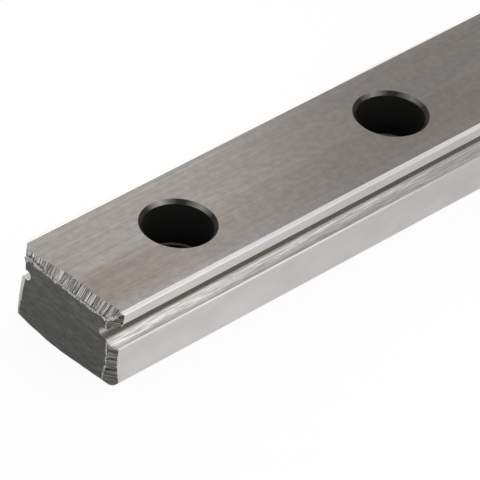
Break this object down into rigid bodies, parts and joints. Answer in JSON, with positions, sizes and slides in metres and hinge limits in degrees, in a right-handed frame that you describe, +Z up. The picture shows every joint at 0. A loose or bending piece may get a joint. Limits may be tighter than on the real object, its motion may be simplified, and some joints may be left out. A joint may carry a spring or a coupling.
{
  "type": "profile linear guide rail",
  "caption": "Ground steel linear guide rail, 12 mm wide and 7.5 mm high, with a ball raceway along each side and counterbored screw holes through the top.",
  "frame": {"origin": "middle of the base face, half way along the rail", "axes": "+X along the rail, +Y across it, +Z up out of the base; the pictured end is at -X and the pictured side faces -Y"},
  "size_m": [0.1, 0.012, 0.0075],
  "materials": {
    "ground_steel": "fine ground, with a duller top and hand-ground end bevels"
  },
  "bodies": {
    "root": {"rail": "ground_steel"}
  },
  "joints": []
}
